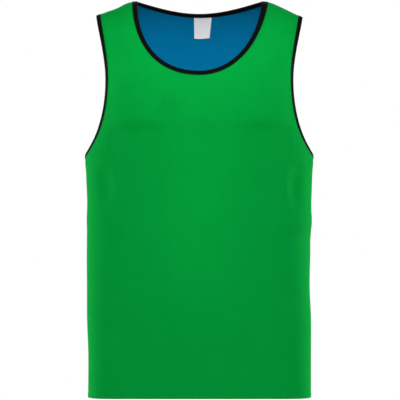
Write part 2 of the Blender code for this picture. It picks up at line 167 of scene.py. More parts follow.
# Seams: a shallow valley along the side and shoulder seams
SEAM_DEPTH = 0.0007
SEAM_WIDTH = 0.0035

# Photograph's viewpoint
PIXEL = 0.0018616
IMAGE_SIZE = 400
SHOULDER_ROW = 9.0
CENTRE_COLUMN = 199.4
CAMERA_DISTANCE = 4.5

QUARTER_TURN = math.pi / 2
FRONT = -1
BACK = 1
FLAT_SCALE = np.array((0.27, CHEST_TO_SHOULDER))

# Creases of the cloth. Each is a soft ridge (depth over 0) or trough (under 0) on a curve through three
# places of the front view, on the front or the back.
CREASES = (
    # side, (across, height) at its start, middle and end, half-width above, half-width below, depth
    # Chest: the cloth stands out over the chest and falls in below it
    (FRONT, (-0.1660, -0.2040), (-0.1180, -0.2080), (-0.0640, -0.2090), 0.050, 0.0130, 0.0055),
    (FRONT, (-0.1660, -0.2280), (-0.1180, -0.2310), (-0.0600, -0.2310), 0.013, 0.0600, -0.0046),
    (FRONT, (-0.0860, -0.2100), (-0.0570, -0.1640), (-0.0300, -0.2120), 0.012, 0.0100, 0.0030),
    (FRONT, (-0.0740, -0.1960), (-0.0570, -0.1900), (-0.0400, -0.1980), 0.010, 0.0130, -0.0040),
    (FRONT, (-0.0500, -0.1980), (0.0050, -0.2020), (0.0760, -0.1980), 0.045, 0.0220, 0.0034),
    (FRONT, (-0.0500, -0.2360), (0.0050, -0.2400), (0.0760, -0.2360), 0.022, 0.0500, -0.0026),
    (FRONT, (0.0640, -0.2090), (0.1180, -0.2070), (0.1660, -0.2050), 0.050, 0.0130, 0.0053),
    (FRONT, (0.0600, -0.2310), (0.1180, -0.2300), (0.1660, -0.2280), 0.013, 0.0600, -0.0044),
    (FRONT, (0.0560, -0.2100), (0.0750, -0.1780), (0.0940, -0.2080), 0.010, 0.0100, 0.0018),
    (FRONT, (0.0660, -0.1960), (0.0750, -0.1930), (0.0840, -0.1970), 0.010, 0.0110, -0.0024),
    # Drags from the armpits, and the hollows beside them
    (FRONT, (-0.1700, -0.2520), (-0.1480, -0.3200), (-0.1530, -0.3930), 0.0075, 0.0075, 0.0034),
    (FRONT, (-0.1820, -0.2900), (-0.1740, -0.3300), (-0.1760, -0.3720), 0.0125, 0.0125, -0.0044),
    (FRONT, (0.1700, -0.2480), (0.1560, -0.3150), (0.1640, -0.3850), 0.0080, 0.0080, 0.0030),
    (FRONT, (0.1850, -0.2920), (0.1760, -0.3300), (0.1790, -0.3740), 0.0125, 0.0125, -0.0042),
    # Folds across the waist that run round the sides
    (FRONT, (-0.2090, -0.3900), (-0.1800, -0.3930), (-0.1380, -0.3950), 0.024, 0.0140, 0.0050),
    (FRONT, (-0.2090, -0.4260), (-0.1780, -0.4280), (-0.1340, -0.4180), 0.012, 0.0200, -0.0036),
    (FRONT, (0.2090, -0.3980), (0.1800, -0.3960), (0.1350, -0.3940), 0.024, 0.0140, 0.0056),
    (FRONT, (0.2090, -0.4260), (0.1780, -0.4280), (0.1400, -0.4180), 0.012, 0.0200, -0.0034),
    # Long soft rise down the middle, and the slopes beside it
    (FRONT, (0.0000, -0.2500), (0.0010, -0.4200), (0.0000, -0.5900), 0.040, 0.0400, 0.0036),
    (FRONT, (-0.1500, -0.4020), (-0.0750, -0.4400), (-0.0300, -0.5600), 0.014, 0.0220, 0.0012),
    (FRONT, (0.1450, -0.4000), (0.0780, -0.4350), (0.0320, -0.5600), 0.014, 0.0220, 0.0012),
    # Faint arcs above the hem
    (FRONT, (-0.1480, -0.6500), (-0.1080, -0.6260), (-0.0620, -0.6100), 0.008, 0.0080, 0.0011),
    (FRONT, (0.1340, -0.6490), (0.1000, -0.6270), (0.0600, -0.6120), 0.008, 0.0080, 0.0011),
    # Back: shoulder blades, drags, waist and middle
    (BACK, (-0.1550, -0.1900), (-0.1150, -0.2120), (-0.0600, -0.2240), 0.036, 0.0160, 0.0042),
    (BACK, (0.0640, -0.2260), (0.1180, -0.2100), (0.1560, -0.1860), 0.036, 0.0160, 0.0040),
    (BACK, (-0.0060, -0.1400), (0.0020, -0.2900), (-0.0020, -0.4700), 0.020, 0.0200, -0.0026),
    (BACK, (-0.1720, -0.2540), (-0.1540, -0.3150), (-0.1500, -0.3800), 0.0085, 0.0085, 0.0024),
    (BACK, (-0.1860, -0.2900), (-0.1760, -0.3300), (-0.1770, -0.3750), 0.0125, 0.0125, -0.0034),
    (BACK, (0.1720, -0.2500), (0.1560, -0.3200), (0.1520, -0.3880), 0.0085, 0.0085, 0.0026),
    (BACK, (0.1860, -0.2940), (0.1780, -0.3320), (0.1760, -0.3700), 0.0125, 0.0125, -0.0034),
    (BACK, (-0.2090, -0.3930), (-0.1640, -0.4040), (-0.0980, -0.4180), 0.020, 0.0110, 0.0040),
    (BACK, (-0.2090, -0.4260), (-0.1620, -0.4340), (-0.1100, -0.4400), 0.009, 0.0140, -0.0026),
    (BACK, (0.2090, -0.4000), (0.1560, -0.4080), (0.0860, -0.4260), 0.020, 0.0110, 0.0042),
    (BACK, (0.2090, -0.4240), (0.1600, -0.4360), (0.1020, -0.4440), 0.009, 0.0140, -0.0026),
    (BACK, (-0.0900, -0.4520), (0.0060, -0.4700), (0.0980, -0.4560), 0.018, 0.0120, 0.0022),
    (BACK, (-0.1400, -0.6460), (-0.0980, -0.6220), (-0.0500, -0.6080), 0.008, 0.0080, 0.0011),
    (BACK, (0.1420, -0.6520), (0.0960, -0.6280), (0.0540, -0.6120), 0.008, 0.0080, 0.0011),
)


# Smooth curves

def smooth_table(table, column, at):
    """Read one column of a table at the places `at`, on a smooth curve through its rows."""
    keys = np.array([row[0] for row in table])
    values = np.array([row[column] for row in table])
    slopes = np.gradient(values, keys)
    low = np.clip(np.searchsorted(keys, at) - 1, 0, len(keys) - 2)
    span = keys[low + 1] - keys[low]
    t = np.clip((at - keys[low]) / span, 0.0, 1.0)
    start = (1 + 2 * t) * (1 - t) ** 2 * values[low] + t * (1 - t) ** 2 * span * slopes[low]
    end = t ** 2 * (3 - 2 * t) * values[low + 1] - t ** 2 * (1 - t) * span * slopes[low + 1]
    return start + end


def bezier(start, first_handle, second_handle, end, samples):
    """Points of one cubic curve in the front view."""
    t = np.linspace(0.0, 1.0, samples)[:, None]
    corners = [np.array(corner) for corner in (start, first_handle, second_handle, end)]
    return ((1 - t) ** 3 * corners[0] + 3 * t * (1 - t) ** 2 * corners[1]
            + 3 * t ** 2 * (1 - t) * corners[2] + t ** 3 * corners[3])


# The figure that the garment is worn on

def shoulder_height(x):
    out = np.abs(x)
    return np.where(x < 0, smooth_table(SHOULDER_LINE, 1, out), smooth_table(SHOULDER_LINE, 2, out))


def half_width(z, x):
    return np.where(x < 0, smooth_table(HALF_WIDTHS, 1, z), smooth_table(HALF_WIDTHS, 2, z))


def section(around, z):
    """Place across and forward on a rounded section of half-width 1 and depth 1."""
    power = smooth_table(SECTIONS, 3, z)
    turn = np.abs(around) * QUARTER_TURN
    sine = np.sin(turn)
    cosine = np.maximum(np.cos(turn), 0.0)
    reach = (sine ** power + cosine ** power) ** (-1 / power)
    return np.sign(around) * sine * reach, cosine * reach


def figure(spots, side):
    """Points on the figure at surface coordinates `spots` (around, up), on its front or back."""
    around = spots[..., 0]
    up = spots[..., 1]
    x = around * half_width(np.full_like(up, CHEST_HEIGHT), around)
    for _ in range(SOLVE_ROUNDS):
        above = CHEST_HEIGHT + (shoulder_height(x) - CHEST_HEIGHT) * np.sin(np.maximum(up, 0.0))
        z = np.where(up > 0, above, CHEST_HEIGHT + CHEST_TO_SHOULDER * up)
        across, forward = section(around, z)
        x = across * half_width(z, around)
    column = 1 if side == FRONT else 2
    depth = smooth_table(SECTIONS, column, z) * forward * np.cos(np.maximum(up, 0.0))
    return np.stack((x, side * depth, z), axis=-1)


def spots_at(view_points):
    """Surface coordinates of points given in the front view as (x, z)."""
    x = view_points[:, 0]
    z = view_points[:, 1]
    power = smooth_table(SECTIONS, 3, z)
    across = np.minimum(np.abs(x) / half_width(z, x), 1.0)
    forward = (1 - across ** power) ** (1 / power)
    around = np.sign(x) * np.arctan2(across, forward) / QUARTER_TURN
    share = np.clip((z - CHEST_HEIGHT) / (shoulder_height(x) - CHEST_HEIGHT), -1.0, 1.0)
    up = np.where(z > CHEST_HEIGHT, np.arcsin(share), (z - CHEST_HEIGHT) / CHEST_TO_SHOULDER)
    return np.stack((around, up), axis=-1)


def slopes_at(spots, side):
    """How the figure's point moves with each surface coordinate, by differences taken inside it."""
    slopes = []
    for axis, limit in ((0, 1.0), (1, QUARTER_TURN)):
        ahead = spots.copy()
        behind = spots.copy()
        ahead[..., axis] = np.minimum(spots[..., axis] + SLOPE_STEP, limit)
        behind[..., axis] = np.maximum(spots[..., axis] - SLOPE_STEP, -limit if axis == 0 else -np.inf)
        width = (ahead - behind)[..., axis, None]
        slopes.append((figure(ahead, side) - figure(behind, side)) / width)
    return slopes


def unit(vectors):
    return vectors / np.linalg.norm(vectors, axis=-1, keepdims=True)


def on_seam(spots):
    return (np.abs(spots[..., 0]) > 1 - 1e-9) | (spots[..., 1] > QUARTER_TURN - 1e-9)


def normals_at(spots, side):
    """Outward normals. On a seam they lie in the plane of the seam."""
    around_slope, up_slope = slopes_at(spots, side)
    normal = -side * np.cross(around_slope, up_slope)
    normal[..., 1] = np.where(on_seam(spots), 0.0, normal[..., 1])
    return unit(normal)


# Creases and relief of the cloth, as a height over the figure

def crease_curve(side, places, samples=60):
    """Points on the figure along one crease, and how far along it each lies."""
    t = np.linspace(0.0, 1.0, samples)
    weights = np.stack(((1 - t) * (1 - 2 * t), 4 * t * (1 - t), t * (2 * t - 1)), axis=-1)
    return figure(spots_at(weights @ np.array(places)), side), t


def relief(points):
    """How far the cloth stands off the figure at each point."""
    height = np.zeros(len(points))
    for side, *places, width_above, width_below, depth in CREASES:
        curve, t = crease_curve(side, places)
        reach = 3 * max(width_above, width_below)
        near = np.flatnonzero(((points > curve.min(0) - reach) & (points < curve.max(0) + reach)).all(1))
        gaps = np.linalg.norm(points[near, None] - curve[None], axis=2)
        nearest = gaps.argmin(1)
        taper = np.sin(np.pi * np.clip(t[nearest], 0.0, 1.0)) ** 0.7
        rise = np.clip((points[near, 2] - curve[nearest, 2]) / 0.006, -1.0, 1.0) / 2 + 0.5
        width = width_below + (width_above - width_below) * rise
        height[near] += depth * taper * np.exp(-(gaps.min(1) / width) ** 2)
    height -= SEAM_DEPTH * np.exp(-(points[:, 1] / SEAM_WIDTH) ** 2)
    above_hem = points[:, 2] - HEM_HEIGHT
    height += HEM_PUFF * np.clip((HEM_STITCH - above_hem) / HEM_GROOVE_WIDTH, 0.0, 1.0)
    height -= HEM_GROOVE * np.exp(-((above_hem - HEM_STITCH) / HEM_GROOVE_WIDTH) ** 2)
    return height


def hem_drop(points):
    """How far the cloth near the hem hangs below the solid, more at the corners than in the middle."""
    close = np.clip(1 - (points[:, 2] - HEM_HEIGHT) / HEM_DROP_REACH, 0.0, 1.0) ** 2
    corner = np.clip((np.abs(points[:, 0]) - 0.12) / 0.07, 0.0, 1.0)
    return close * (HEM_DROP + HEM_CORNER_DROP * corner)


# Edge curves, as surface coordinates

def even_stations(spots, side, cells):
    """Resample a curve on the figure to stations at equal distances."""
    points = figure(spots, side)
    steps = np.linalg.norm(np.diff(points, axis=0), axis=1)
    length = np.concatenate(([0.0], np.cumsum(steps)))
    wanted = np.linspace(0.0, length[-1], cells + 1)
    return np.stack([np.interp(wanted, length, spots[:, axis]) for axis in (0, 1)], axis=-1)


def moved_in(spots, side, distance, turn):
    """Move an edge curve into the cloth by a distance along the figure. `turn` says on which hand."""
    for _ in range(2):
        points = figure(spots, side)
        around_slope, up_slope = slopes_at(spots, side)
        along = np.gradient(points, axis=0)
        inward = turn * unit(np.cross(normals_at(spots, side), along)) * distance / 2
        aa = (around_slope ** 2).sum(-1)
        ab = (around_slope * up_slope).sum(-1)
        bb = (up_slope ** 2).sum(-1)
        ia = (inward * around_slope).sum(-1)
        ib = (inward * up_slope).sum(-1)
        spread = aa * bb - ab ** 2
        change = np.stack(((ia * bb - ib * ab) / spread, (ib * aa - ia * ab) / spread), axis=-1)
        on_shoulder = spots[:, 1] > QUARTER_TURN - 1e-9
        on_side = np.abs(spots[:, 0]) > 1 - 1e-9
        change[on_shoulder, 1] = 0.0
        change[on_side, 0] = 0.0
        spots = spots + change
        spots[:, 1] = np.minimum(spots[:, 1], QUARTER_TURN)
        spots[:, 0] = np.clip(spots[:, 0], -1.0, 1.0)
    return spots


def shoulder_point(x):
    return (x, float(shoulder_height(np.array([x]))[0]))


def neck_fold(side):
    """Fold line of the neck binding from the -X shoulder to the +X shoulder."""
    halves = []
    for hand in (-1, 1):
        start = shoulder_point(hand * NECK_HALF_WIDTH)
        if side == FRONT:
            width, height, reach = NECK_HANDLES[hand]
            bottom = FRONT_NECK_BOTTOM
        else:
            width, height, reach = BACK_NECK_HANDLES
            bottom = BACK_NECK_BOTTOM
        halves.append(bezier(start, (hand * width, height), (hand * reach, bottom), (0.0, bottom),
                             CURVE_SAMPLES))
    spots = spots_at(np.concatenate((halves[0], halves[1][-2::-1])))
    spots[[0, -1], 1] = QUARTER_TURN
    return spots


def armhole_fold(hand):
    """Fold line of an armhole binding from the shoulder tip to the armpit, for -X or +X."""
    flip = np.array((hand, 1.0))
    armpit = (float(half_width(np.array([ARMPIT_HEIGHT]), np.array([hand]))[0]), ARMPIT_HEIGHT)
    tip = (TIP_HALF_WIDTH, shoulder_point(hand * TIP_HALF_WIDTH)[1])
    upper = bezier(tip, *ARMHOLE_UPPER_HANDLES, NARROWEST, CURVE_SAMPLES)
    lower = bezier(NARROWEST, *ARMHOLE_LOWER_HANDLES, armpit, CURVE_SAMPLES)
    spots = spots_at(np.concatenate((upper, lower[1:])) * flip)
    spots[0, 1] = QUARTER_TURN
    spots[-1, 0] = hand
    return spots


def tape_lines(fold, side, turn, overlap=TAPE_OVERLAP):
    """Cut edge of the cloth inside the fold, and the line where the binding's edge lies on the cloth."""
    cut = moved_in(fold, side, TAPE_FOLD, turn)
    return cut, moved_in(cut, side, overlap, turn)


def neck_overlap(fold, side):
    """Width of the neck binding on the cloth at each place of its fold."""
    steps = np.linalg.norm(np.diff(figure(fold, side), axis=0), axis=1)
    length = np.concatenate(([0.0], np.cumsum(steps)))
    extra = (NECK_TAPE_EXTRA[-1] * np.exp(-(length / NECK_TAPE_REACH) ** 2)
             + NECK_TAPE_EXTRA[1] * np.exp(-((length[-1] - length) / NECK_TAPE_REACH) ** 2))
    return (TAPE_OVERLAP + extra)[:, None]


def matched_stations(cut, line, side, cell_counts, breaks):
    """Stations on the tape line, and the partner of each on the cut edge, for stretches between breaks."""
    lined = []
    partnered = []
    index = np.arange(len(line), dtype=float)
    for cells, (first, last) in zip(cell_counts, breaks):
        stretch = slice(first, last + 1)
        keyed = np.concatenate((line[stretch], index[stretch, None]), axis=1)
        points = figure(line[stretch], side)
        steps = np.linalg.norm(np.diff(points, axis=0), axis=1)
        length = np.concatenate(([0.0], np.cumsum(steps)))
        wanted = np.linspace(0.0, length[-1], cells + 1)
        row = np.stack([np.interp(wanted, length, keyed[:, axis]) for axis in range(3)], axis=-1)
        partner = np.stack([np.interp(row[:, 2], index, cut[:, axis]) for axis in (0, 1)], axis=-1)
        keep = slice(0 if not lined else 1, None)
        lined.append(row[keep, :2])
        partnered.append(partner[keep])
    return np.concatenate(lined), np.concatenate(partnered)


# Panels

def patch(bottom, top, left, right):
    """Grid of surface coordinates inside four edges that share their corners."""
    v = ((left[:, 1] - left[0, 1]) / (left[-1, 1] - left[0, 1]))[:, None, None]
    u = np.linspace(0.0, 1.0, len(bottom))[None, :, None]
    edges = (1 - v) * bottom[None] + v * top[None] + (1 - u) * left[:, None] + u * right[:, None]
    corners = ((1 - u) * (1 - v) * bottom[0] + u * (1 - v) * bottom[-1]
               + (1 - u) * v * top[0] + u * v * top[-1])
    return edges - corners


def evened(grid, rounds=EVEN_ROUNDS):
    """Even out a grid of cells inside its edges by Winslow's equations, which never fold a cell over."""
    g = grid * FLAT_SCALE
    for _ in range(rounds):
        east, west = g[1:-1, 2:], g[1:-1, :-2]
        north, south = g[2:, 1:-1], g[:-2, 1:-1]
        column = (east - west) / 2
        row = (north - south) / 2
        twist = (g[2:, 2:] - g[2:, :-2] - g[:-2, 2:] + g[:-2, :-2]) / 4
        a = (row ** 2).sum(-1, keepdims=True)
        b = (column * row).sum(-1, keepdims=True)
        c = (column ** 2).sum(-1, keepdims=True)
        g[1:-1, 1:-1] = (a * (east + west) + c * (north + south) - 2 * b * twist) / (2 * (a + c))
    return g / FLAT_SCALE


def straight(start, end, cells):
    return np.linspace(0.0, 1.0, cells + 1)[:, None] * (end - start) + start


def turned_to(cell, first):
    """The same cell, counted from its corner `first`."""
    start = cell.index(first)
    return cell[start:] + cell[:start]


class Panel:
    """One cut piece: cells between numbered spots, with the spots that border each opening."""

    def __init__(self, side):
        self.side = side
        self.spots = []
        self.quads = []
        self.borders = {}

    def add_block(self, grid, first_row=None):
        """Add a grid of cells. Its first row can be spots that are there already."""
        rows, columns = grid.shape[:2]
        numbers = np.zeros((rows, columns), dtype=int)
        for row in range(rows):
            if row == 0 and first_row is not None:
                numbers[0] = first_row
                continue
            numbers[row] = np.arange(columns) + len(self.spots)
            self.spots.extend(grid[row])
        corners = np.stack((numbers[:-1, :-1], numbers[:-1, 1:], numbers[1:, 1:], numbers[1:, :-1]), axis=-1)
        self.quads.extend(tuple(quad) for quad in corners.reshape(-1, 4).tolist())
        return numbers

    def add_border(self, name, line_numbers, cut_edge, flip):
        """Add the strip of cloth between a tape line and the cut edge inside the fold."""
        cut_numbers = np.arange(len(cut_edge)) + len(self.spots)
        self.spots.extend(cut_edge)
        for k in range(len(line_numbers) - 1):
            quad = (int(line_numbers[k]), int(line_numbers[k + 1]), int(cut_numbers[k + 1]), int(cut_numbers[k]))
            self.quads.append(quad[::-1] if flip else quad)
        self.borders[name] = (np.array(line_numbers), cut_numbers)

    def shape(self):
        """Points, outward normals and spots of the creased cloth's outer face."""
        spots = np.array(self.spots)
        smooth = figure(spots, self.side)
        points = smooth + normals_at(spots, self.side) * relief(smooth)[:, None]
        points[:, 1] += self.side * SEAM_GAP / 2
        points[:, 2] -= hem_drop(smooth)
        quads = np.array(self.quads)
        faces = np.cross(points[quads[:, 2]] - points[quads[:, 0]], points[quads[:, 3]] - points[quads[:, 1]])
        normals = np.zeros_like(points)
        for k in range(4):
            np.add.at(normals, quads[:, k], faces)
        normals *= -self.side
        normals[on_seam(spots), 1] = 0.0
        return points, unit(normals), spots


def nearest_index(spots, side, wanted):
    """Index of the curve sample whose front view height is nearest to the wanted one."""
    return int(np.argmin(np.abs(figure(spots, side)[:, 2] - wanted)))


def armhole_lines(side):
    """Tape line and cut edge of both armholes, shoulder first, with the sample at the strap's base."""
    lines = {}
    for hand in (-1, 1):
        fold = armhole_fold(hand)
        cut, line = tape_lines(fold, side, hand * side)
        base = nearest_index(line, side, STRAP_BASE_AT_ARMHOLE)
        lines[hand] = matched_stations(cut, line, side, (STRAP_ROWS, CHEST_ROWS),
                                       ((0, base), (base, len(line) - 1)))
    return lines


def side_seam(hand, hem_up, armpit):
    """Side seam from hem to armpit, with close rows along the hem."""
    close = hem_up + np.array((0.0,) + HEM_ROWS) / CHEST_TO_SHOULDER
    rows = np.linspace(close[-1], armpit[1], BODY_ROWS + 1)[1:]
    up = np.concatenate((close, rows))
    return np.stack((np.full(len(up), float(hand)), up), axis=-1)


def make_panel(side):
    """Front or back: a body block up to the base of the straps, then the straps or the shoulders."""
    panel = Panel(side)
    armholes = armhole_lines(side)
    fold = neck_fold(side)
    cut, line = tape_lines(fold, side, side, neck_overlap(fold, side))
    if side == FRONT:
        half = len(line) // 2
        left_turn = nearest_index(line[:half], side, STRAP_BASE_AT_NECK)
        right_turn = half + nearest_index(line[half:], side, STRAP_BASE_AT_NECK)
        neck_line, neck_cut = matched_stations(
            cut, line, side, (STRAP_ROWS, NECK_CELLS, STRAP_ROWS),
            ((0, left_turn), (left_turn, right_turn), (right_turn, len(line) - 1)))
        base_row = STRAP_ROWS
    else:
        neck_line, neck_cut = matched_stations(cut, line, side, (NECK_CELLS,), ((0, len(line) - 1),))
        base_row = 0
    arc = neck_line[base_row:base_row + NECK_CELLS + 1]
    hem_up = (HEM_HEIGHT - CHEST_HEIGHT) / CHEST_TO_SHOULDER
    hem = even_stations(straight(np.array((-1.0, hem_up)), np.array((1.0, hem_up)), CURVE_SAMPLES),
                        side, 2 * STRAP_CELLS + NECK_CELLS)
    sides = {}
    for hand in (-1, 1):
        armhole = armholes[hand][0][::-1]
        top = CHEST_ROWS + 1 if side == FRONT else len(armhole)
        sides[hand] = np.concatenate((side_seam(hand, hem_up, armhole[0])[:-1], armhole[:top]))
    seam_rows = len(HEM_ROWS) + BODY_ROWS
    left_strap = straight(sides[-1][-1], arc[0], STRAP_CELLS)
    right_strap = straight(arc[-1], sides[1][-1], STRAP_CELLS)
    top_edge = np.concatenate((left_strap, arc[1:-1], right_strap))
    grid = patch(hem, top_edge, sides[-1], sides[1])
    close_rows = len(HEM_ROWS)
    body = panel.add_block(np.concatenate((grid[:close_rows], evened(grid[close_rows:]))))
    neck_numbers = list(body[-1, STRAP_CELLS:STRAP_CELLS + NECK_CELLS + 1])
    armhole_numbers = {hand: list(body[seam_rows:, column])[::-1] for hand, column in ((-1, 0), (1, -1))}
    if side == FRONT:
        straps = {-1: body[-1, :STRAP_CELLS + 1], 1: body[-1, STRAP_CELLS + NECK_CELLS:]}
        for hand, base in straps.items():
            outer = armholes[hand][0][:STRAP_ROWS + 1][::-1]
            inner = neck_line[:STRAP_ROWS + 1][::-1] if hand < 0 else neck_line[-STRAP_ROWS - 1:]
            left, right = (outer, inner) if hand < 0 else (inner, outer)
            bottom = left_strap if hand < 0 else right_strap
            top = straight(left[-1], right[-1], STRAP_CELLS)
            strap = panel.add_block(evened(patch(bottom, top, left, right)), first_row=base)
            armhole_numbers[hand] = list(strap[1:, 0 if hand < 0 else -1])[::-1] + armhole_numbers[hand]
            if hand < 0:
                neck_numbers = list(strap[1:, -1])[::-1] + neck_numbers
            else:
                neck_numbers = neck_numbers + list(strap[1:, 0])
    panel.add_border("neck", neck_numbers, neck_cut, flip=False)
    for hand in (-1, 1):
        panel.add_border(hand, armhole_numbers[hand], armholes[hand][1], flip=hand < 0)
    return panel


# Materials

def new_material(name, colour, roughness, specular=0.12, sheen=0.0, sheen_tint=(1, 1, 1, 1)):
    """Principled material whose even values sit on the shader's own sockets."""
    material = bpy.data.materials.new(name)
    material.use_nodes = True
    shader = material.node_tree.nodes["Principled BSDF"]
    shader.inputs["Base Color"].default_value = colour
    shader.inputs["Roughness"].default_value = roughness
    shader.inputs["Specular IOR Level"].default_value = specular
    shader.inputs["Sheen Weight"].default_value = sheen
    shader.inputs["Sheen Roughness"].default_value = 0.6
    shader.inputs["Sheen Tint"].default_value = sheen_tint
    return material, material.node_tree.nodes, material.node_tree.links, shader


def math_node(nodes, links, operation, first, second=None):
    node = nodes.new("ShaderNodeMath")
    node.operation = operation
    for socket, value in zip(node.inputs, (first, second)):
        if value is None:
            continue
        if hasattr(value, "links"):
            links.new(value, socket)
        else:
            socket.default_value = value
    return node.outputs[0]


def knit_material(name, colour, dark, light, sheen_tint, wale=0.00115, course=0.00095):
    """Fine interlock knit: columns of V-shaped stitches in the bump, faint mottling in the colour."""
    material, nodes, links, shader = new_material(name, colour, 0.90, 0.02, 0.05, sheen_tint)
    place = nodes.new("ShaderNodeUVMap")
    place.uv_map = "cloth"
    split = nodes.new("ShaderNodeSeparateXYZ")
    links.new(place.outputs["UV"], split.inputs["Vector"])
    across = math_node(nodes, links, "MULTIPLY", split.outputs["X"], 2 * math.pi / wale)
    along = math_node(nodes, links, "MULTIPLY", split.outputs["Y"], 2 * math.pi / course)
    column = math_node(nodes, links, "COSINE", across)
    slant = math_node(nodes, links, "MULTIPLY", math_node(nodes, links, "ABSOLUTE", column), 1.6)
    stitch = math_node(nodes, links, "SINE", math_node(nodes, links, "ADD", along, slant))
    height = math_node(nodes, links, "ADD", math_node(nodes, links, "MULTIPLY", column, 0.6), stitch)
    bump = nodes.new("ShaderNodeBump")
    bump.inputs["Strength"].default_value = 0.35
    bump.inputs["Distance"].default_value = 0.00012
    links.new(height, bump.inputs["Height"])
    links.new(bump.outputs["Normal"], shader.inputs["Normal"])
    mottle = nodes.new("ShaderNodeTexNoise")
    mottle.inputs["Scale"].default_value = 26.0
    mottle.inputs["Detail"].default_value = 6.0
    coordinates = nodes.new("ShaderNodeTexCoord")
    links.new(coordinates.outputs["Object"], mottle.inputs["Vector"])
    ramp = nodes.new("ShaderNodeValToRGB")
    ramp.color_ramp.elements[0].position = 0.3
    ramp.color_ramp.elements[0].color = dark
    ramp.color_ramp.elements[1].position = 0.7
    ramp.color_ramp.elements[1].color = light
    links.new(mottle.outputs["Fac"], ramp.inputs["Fac"])
    links.new(ramp.outputs["Color"], shader.inputs["Base Color"])
    return material


def tape_material():
    """Black knitted tape with fine ribs across its width."""
    material, nodes, links, shader = new_material("binding_knit", (0.0035, 0.0036, 0.0032, 1), 0.88, 0.05)
    place = nodes.new("ShaderNodeUVMap")
    place.uv_map = "cloth"
    split = nodes.new("ShaderNodeSeparateXYZ")
    links.new(place.outputs["UV"], split.inputs["Vector"])
    rib = math_node(nodes, links, "SINE", math_node(nodes, links, "MULTIPLY", split.outputs["X"], 2 * math.pi / 0.0011))
    bump = nodes.new("ShaderNodeBump")
    bump.inputs["Strength"].default_value = 0.5
    bump.inputs["Distance"].default_value = 0.00015
    links.new(rib, bump.inputs["Height"])
    links.new(bump.outputs["Normal"], shader.inputs["Normal"])
    return material


def label_material():
    """White woven satin, bare, with fine weft lines."""
    material, nodes, links, shader = new_material("label_satin", (0.97, 0.955, 0.93, 1), 0.50, 0.3, 0.1)
    place = nodes.new("ShaderNodeUVMap")
    place.uv_map = "cloth"
    split = nodes.new("ShaderNodeSeparateXYZ")
    links.new(place.outputs["UV"], split.inputs["Vector"])
    weft = math_node(nodes, links, "SINE", math_node(nodes, links, "MULTIPLY", split.outputs["Y"], 2 * math.pi / 0.0006))
    bump = nodes.new("ShaderNodeBump")
    bump.inputs["Strength"].default_value = 0.3
    bump.inputs["Distance"].default_value = 0.00006
    links.new(weft, bump.inputs["Height"])
    links.new(bump.outputs["Normal"], shader.inputs["Normal"])
    return material


def thread_material(name, colour):
    return new_material(name, colour, 0.6, 0.3)[0]


# Meshes

def add_piece(name, points, faces, material, uv=None):
    """One piece of the scene from arrays. `uv` gives each point its place on the flat cloth."""
    mesh = bpy.data.meshes.new(name)
    mesh.from_pydata(points.tolist(), [], faces)
    mesh.materials.append(material)
    mesh.shade_smooth()
    if uv is not None:
        layer = mesh.uv_layers.new(name="cloth")
        corner_points = np.empty(len(mesh.loops), dtype=np.int32)
        mesh.loops.foreach_get("vertex_index", corner_points)
        layer.data.foreach_set("uv", np.asarray(uv, dtype=np.float32)[corner_points].ravel())
    piece = bpy.data.objects.new(name, mesh)
    bpy.context.scene.collection.objects.link(piece)
    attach(piece, "root")
    return piece


def wall(points, normals, quads, outer, inner):
    """Closed wall between two offsets of a panel, with a rim round every edge."""
    count = len(points)
    shell = np.concatenate((points + normals * outer, points + normals * inner))
    faces = [tuple(quad) for quad in quads]
    faces += [tuple(n + count for n in reversed(quad)) for quad in quads]
    directed = {pair for quad in quads for pair in zip(quad, quad[1:] + quad[:1])}
    for start, end in sorted(directed):
        if (end, start) not in directed:
            faces.append((end, start, start + count, end + count))
    return shell, faces


def facing_out(points, faces):
    """The same faces, turned round if they enclose a negative volume."""
    volume = 0.0
    for face in faces:
        for second, third in zip(face[1:], face[2:]):
            volume += float(np.dot(points[face[0]], np.cross(points[second], points[third])))
    return faces if volume > 0 else [tuple(reversed(face)) for face in faces]


def sharpen_rims(piece):
    piece.data.set_sharp_from_angle(angle=math.radians(55))


def flat_place(spots):
    """Where spots lie on the flat cloth, in metres."""
    return spots * FLAT_SCALE


def make_layers(panel, prefix, materials):
    points, normals, spots = panel.shape()
    uv = np.tile(flat_place(spots), (2, 1))
    inner_face = LAYER_WALL + LAYER_GAP
    pieces = []
    for suffix, outer, inner in (("outer", 0.0, -LAYER_WALL), ("inner", -inner_face, -inner_face - LAYER_WALL)):
        shell, faces = wall(points, normals, panel.quads, outer, inner)
        faces = [tuple(reversed(face)) for face in faces] if panel.side == BACK else faces
        piece = add_piece(f"{prefix}_{suffix}_cloth", shell, faces, materials[suffix], uv)
        sharpen_rims(piece)
        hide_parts(f"{prefix}_{suffix}")
        pieces.append(piece)
    return pieces


def tape_section(line, line_normal, cut, cut_normal):
    """Folded tape at one station, as a loop of points from the outer leg's end round the fold and back."""
    out = unit(cut - line)
    low = TAPE_GAP
    high = TAPE_GAP + TAPE_WALL
    inside = -2 * LAYER_WALL - LAYER_GAP
    middle = (high + inside - high) / 2
    loop = [
        line + line_normal * low,
        line + line_normal * (low + 0.6 * TAPE_WALL),
        line + line_normal * high + (cut - line) * 0.06,
        line * 0.5 + cut * 0.5 + (line_normal + cut_normal) * 0.5 * (high + 0.0001),
        cut + cut_normal * high,
    ]
    rise = (high - inside + high) / 2
    for angle in (60, 30, 0, -30, -60):
        turn = math.radians(angle)
        loop.append(cut + cut_normal * (middle + rise * math.sin(turn)) + out * (TAPE_FOLD * math.cos(turn)))
    loop += [
        cut + cut_normal * (inside - high),
        line * 0.5 + cut * 0.5 + (line_normal + cut_normal) * 0.5 * (inside - high - 0.0001),
        line + line_normal * (inside - high) + (cut - line) * 0.06,
        line + line_normal * (inside - low - 0.6 * TAPE_WALL),
        line + line_normal * (inside - low),
        cut + cut_normal * (inside - low) + out * low,
        cut + cut_normal * low + out * low,
    ]
    return loop


